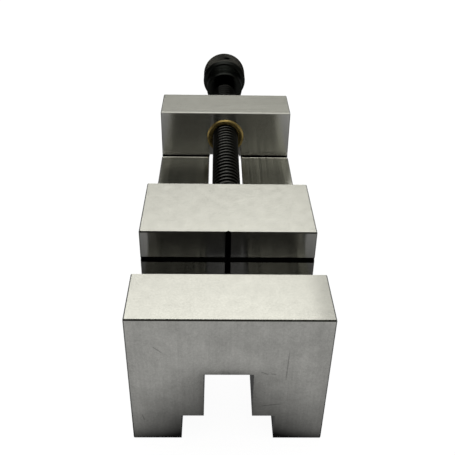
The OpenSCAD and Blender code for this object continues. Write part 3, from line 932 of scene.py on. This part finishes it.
def lead_screw(material):
    """Nose and grooved journal in the jaw, neck, right-handed trapezoidal thread and the knob's spigot."""
    nose = screw_low.y
    groove = jaw_high.y - GROOVE_SETBACK
    start = thread_start(jaw_high.y + NECK_L)
    turns = math.floor((knob_low.y - start) / PITCH) - 2
    screw = Turned(SCREW_SIDES)
    screw.rings((JOURNAL_R - EDGE, 0), (JOURNAL_R, EDGE), (JOURNAL_R, groove - GROOVE_L / 2 - nose),
                (GROOVE_R, groove - GROOVE_L / 2 - nose), (GROOVE_R, groove + GROOVE_L / 2 - nose),
                (JOURNAL_R, groove + GROOVE_L / 2 - nose),
                (JOURNAL_R, start - PITCH * THREAD_SEAM - nose))
    screw.thread(start - nose, PITCH, turns, trapezoid(PITCH, THREAD_R, ROOT_R, edge_break=CREST_BREAK))
    end = screw_high.y - nose
    shoulder = knob_low.y - nose
    plain = start + (turns + SHAFT_START) * PITCH - nose
    screw.rings((SHAFT_R, plain), (SHAFT_R, shoulder), (SPIGOT_R, shoulder),
                (SPIGOT_R, end - EDGE), (SPIGOT_R - EDGE, end))
    piece_of("trapezoidal_screw", screw.close().bm, along_screw(nose), material, "turning_screw",
             "lead_screw")


# Nut

NUT_SIDES = 72
NUT_BODY_R = 11.0
NUT_FLANGE_L = 3.0
NUT_MOUTH_R = 10.9
NUT_GROOVE_R = THREAD_R + 0.25
NUT_CREST_R = THREAD_R - PITCH / 2
NUT_RIM = 0.8
NUT_RIM_SHARES = (0.8, 0.1)
THREAD_GAP = 0.05


def lead_nut(material):
    """Stepped bronze nut: bevelled flange, funnel and internal thread that meshes with the screw."""
    front = nut_low.y
    length = nut_high.y - front
    funnel = NUT_MOUTH_R - NUT_GROOVE_R
    start = thread_start(front + funnel + PITCH / 2) + PITCH / 2 - front
    turns = math.floor((length - funnel - start) / PITCH) - 1
    ridge = trapezoid(PITCH, NUT_CREST_R, NUT_GROOVE_R, outward=-1, gap=THREAD_GAP)
    nut = Turned(NUT_SIDES)
    inward, along = (NUT_RIM * share for share in NUT_RIM_SHARES)
    outside = [(NUT_MOUTH_R, 0), (NUT_R - NUT_RIM, 0), (NUT_R - inward, along), (NUT_R, NUT_RIM),
               (NUT_R, NUT_FLANGE_L), (NUT_BODY_R, NUT_FLANGE_L),
               (NUT_BODY_R, length - NUT_RIM), (NUT_BODY_R - NUT_RIM, length), (NUT_MOUTH_R, length),
               (NUT_GROOVE_R, length - funnel)]
    first = [nut.point(NUT_GROOVE_R, k, funnel) for k in range(NUT_SIDES)]
    nut.last = first
    nut.thread(start, PITCH, turns, ridge)
    for radius, z in reversed(outside):
        nut.rings((radius, z))
    nut.join(first)
    piece_of("bronze_nut", nut.bm, along_screw(front), material, "vise_body", "lead_nut")


# Knob

KNURL_PITCH = 1.15
KNURL_SLANT = 1.6
KNURL_DEPTH = 0.28
KNURL_BAND = (2.3, 1.2)
KNOB_SIDES = 2 * round(TAU * HEAD_R / KNURL_PITCH)
COLLAR_R = 14.0
COLLAR_L = 18.5
HEAD_BEVEL = 2.0
KNOB_CHAMFER = 1.0
STEP_FILLET = 0.5
FILLET_SHARE = 0.3
SPIGOT_HOLE_R = 5.02
SPIGOT_HOLE_END = 0.2
CENTRE_R = 2.5
PILOT_R = 0.8
CENTRE_ANGLE = math.radians(30)
TOMMY_R = 2.5
TOMMY_SETBACK = 8.0
TOMMY_TURN = 7.0
TOMMY_BREAK = 0.3
TOMMY_FLARE = 1.0
HOLE_SIDES = 48


def tommy_bar_hole(turn):
    """Cutter for a tommy bar hole right through the head, with broken mouths."""
    cutter = Turned(HOLE_SIDES)
    reach = HEAD_R + TOMMY_FLARE
    mouth = HEAD_R - TOMMY_BREAK
    wide = TOMMY_R + TOMMY_BREAK + TOMMY_FLARE
    cutter.rings((wide, -reach), (TOMMY_R, -mouth), (TOMMY_R, mouth), (wide, reach)).close()
    turned = Matrix.Rotation(math.radians(turn), 4, "Z") @ Matrix.Rotation(math.radians(90), 4, "Y")
    place = Matrix.Translation((0, 0, COLLAR_L + TOMMY_SETBACK)) @ turned
    bmesh.ops.transform(cutter.bm, matrix=place, verts=cutter.bm.verts)
    return cutter.bm


def knob(material):
    """Plain collar and knurled head with crossed tommy bar holes and a centre hole in its end."""
    length = knob_high.y - knob_low.y
    back = length - CENTRE_R / math.tan(CENTRE_ANGLE)
    pilot = back + PILOT_R / math.tan(CENTRE_ANGLE)
    band = (COLLAR_L + KNURL_BAND[0], length - KNURL_BAND[1])
    turned = Turned(KNOB_SIDES)
    turned.rings((SPIGOT_HOLE_R, screw_high.y - knob_low.y + SPIGOT_HOLE_END), (SPIGOT_HOLE_R, 0),
                 (COLLAR_R - KNOB_CHAMFER, 0), (COLLAR_R, KNOB_CHAMFER), (COLLAR_R, COLLAR_L - STEP_FILLET),
                 (COLLAR_R + STEP_FILLET * FILLET_SHARE, COLLAR_L - STEP_FILLET * FILLET_SHARE),
                 (COLLAR_R + STEP_FILLET, COLLAR_L), (HEAD_R - HEAD_BEVEL, COLLAR_L),
                 (HEAD_R, COLLAR_L + HEAD_BEVEL), (HEAD_R, band[0] - KNURL_DEPTH / 2))
    turned.knurl(HEAD_R, KNURL_DEPTH, *band)
    turned.rings((HEAD_R - KNOB_CHAMFER, length), (CENTRE_R, length), (PILOT_R, pilot),
                 (PILOT_R, back - PILOT_R))
    holes = [tommy_bar_hole(turn) for turn in (TOMMY_TURN, TOMMY_TURN + 90)]
    drilled = cut_out(turned.close().bm, *holes)
    piece_of("tommy_bar_knob", drilled, along_screw(knob_low.y), material, "turning_screw",
             "knob")


# Small screws

CAP_SIDES = 72
CAP_R = 5.0
CAP_H = 6.0
CAP_KEY = 5.0
CAP_SHANK_R = 3.0
CAP_PITCH = 1.0
CAP_KNURL = 0.15
CAP_BREAK = 0.4
CAP_FILLET = 0.3
CAP_PLAIN_L = 1.5
CAP_THREAD_AT = 2.0
CAP_UNTHREADED = 4.0
CAP_KNURL_END = 0.5
GRUB_SIDES = 36
GRUB_R = 1.5
GRUB_PITCH = 0.5
GRUB_KEY = 1.5
GRUB_THREAD_AT = 0.4
GRUB_UNTHREADED = 1.0
GRUB_BREAK = 0.1
POINT_BREAK = 0.3
METRIC_DEPTH_SHARE = 0.61
HEXAGON_TIP_SHARE = 0.05


def metric_thread(pitch, radius):
    """Root radius of a metric thread and its profile over one pitch, as (z, radius)."""
    root = radius - METRIC_DEPTH_SHARE * pitch
    return root, [(0, root), (pitch / 8, root), (pitch * 7 / 16, radius), (pitch * 9 / 16, radius),
                  (pitch * 7 / 8, root), (pitch, root)]


def hexagon_hole(key, depth, mouth_z, sign):
    """Cutter for a hexagon socket with a drilled bottom. sign is the side of mouth_z that is outside."""
    cutter = Turned(6)
    radius = key / 2 / math.cos(TAU / 12)
    cutter.rings((radius, mouth_z + sign), (radius, mouth_z - sign * depth),
                 (radius * HEXAGON_TIP_SHARE, mouth_z - sign * (depth + key / 4))).close()
    return cutter.bm


def cap_screw(name, node, material):
    """Socket cap screw, head down, with a knurled head and a real thread."""
    low, high = span(node)
    length = high.z - low.z
    turns = math.floor((length - CAP_H - CAP_UNTHREADED) / CAP_PITCH)
    root, profile = metric_thread(CAP_PITCH, CAP_SHANK_R)
    made = Turned(CAP_SIDES)
    made.rings((CAP_R - 4 * CAP_KNURL, 0), (CAP_R - CAP_KNURL, 3 * CAP_KNURL))
    made.flutes(CAP_R, CAP_KNURL, 4 * CAP_KNURL, CAP_H - CAP_KNURL_END)
    made.rings((CAP_R - CAP_BREAK, CAP_H), (CAP_SHANK_R + CAP_FILLET, CAP_H),
               (CAP_SHANK_R, CAP_H + CAP_FILLET), (CAP_SHANK_R, CAP_H + CAP_PLAIN_L))
    made.thread(CAP_H + CAP_THREAD_AT, CAP_PITCH, turns, profile)
    made.rings((root - POINT_BREAK, length))
    socket = hexagon_hole(CAP_KEY, CAP_H / 2, 0, -1)
    place = Matrix.Translation(((low.x + high.x) / 2, (low.y + high.y) / 2, low.z))
    piece_of(name, cut_out(made.close().bm, socket), place, material, "sliding_jaw", node)


def grub_screw(material):
    """Socket grub screw on the joint between the nut and the block."""
    low, high = span("nut_lock_screw")
    length = high.y - low.y
    turns = math.floor((length - GRUB_UNTHREADED) / GRUB_PITCH) - 1
    root, profile = metric_thread(GRUB_PITCH, GRUB_R)
    made = Turned(GRUB_SIDES)
    made.rings((root - POINT_BREAK, 0), (root, POINT_BREAK))
    made.thread(GRUB_THREAD_AT, GRUB_PITCH, turns, profile)
    made.rings((root, length - GRUB_BREAK), (root - GRUB_BREAK, length))
    socket = hexagon_hole(GRUB_KEY, length / 3, length, 1)
    place = along_screw(low.y, (low.x + high.x) / 2)
    piece_of("lock_grub_screw", cut_out(made.close().bm, socket), place, material, "vise_body",
             "nut_lock_screw")


# The scene


def dress(material, *names):
    for name in names:
        mesh = nodes[name].data
        mesh.materials.clear()
        mesh.materials.append(material)


make_camera()
make_world()
make_floor()
dress(ground_body(), "body")
dress(ground_jaw(), "movable_jaw")
dress(small_steel("milled_steel", MILLED, MILLED_ROUGHNESS), "hold_down_plate")
dress(small_steel("bright_steel", BRIGHT, BRIGHT_ROUGHNESS), "thrust_ball", "retaining_pin_left",
      "retaining_pin_right", "knob_pin", "plate_washer_front", "plate_washer_rear")
lead_screw(black_oxide("screw_black", SCREW_BLACK, SCREW_ROUGHNESS, SCREW_RINGS, THREAD_R - SCREW_RUB_DEPTH,
                       SCREW_RUBBED, SCREW_RUB_AND_SHADE_BEHIND))
knob(black_oxide("knob_black", BLACK, KNOB_ROUGHNESS, KNOB_RINGS, HEAD_R - KNURL_RUB_DEPTH, KNURL_RUBBED))
lead_nut(turned_bronze())
fastener_black = black_oxide("fastener_black", BLACK, FASTENER_ROUGHNESS, KNOB_RINGS)
cap_screw("cap_screw_front", "plate_screw_front", fastener_black)
cap_screw("cap_screw_rear", "plate_screw_rear", fastener_black)
grub_screw(fastener_black)

bpy.context.scene.view_settings.view_transform = "Standard"
bpy.context.scene.cycles.denoising_input_passes = "RGB"
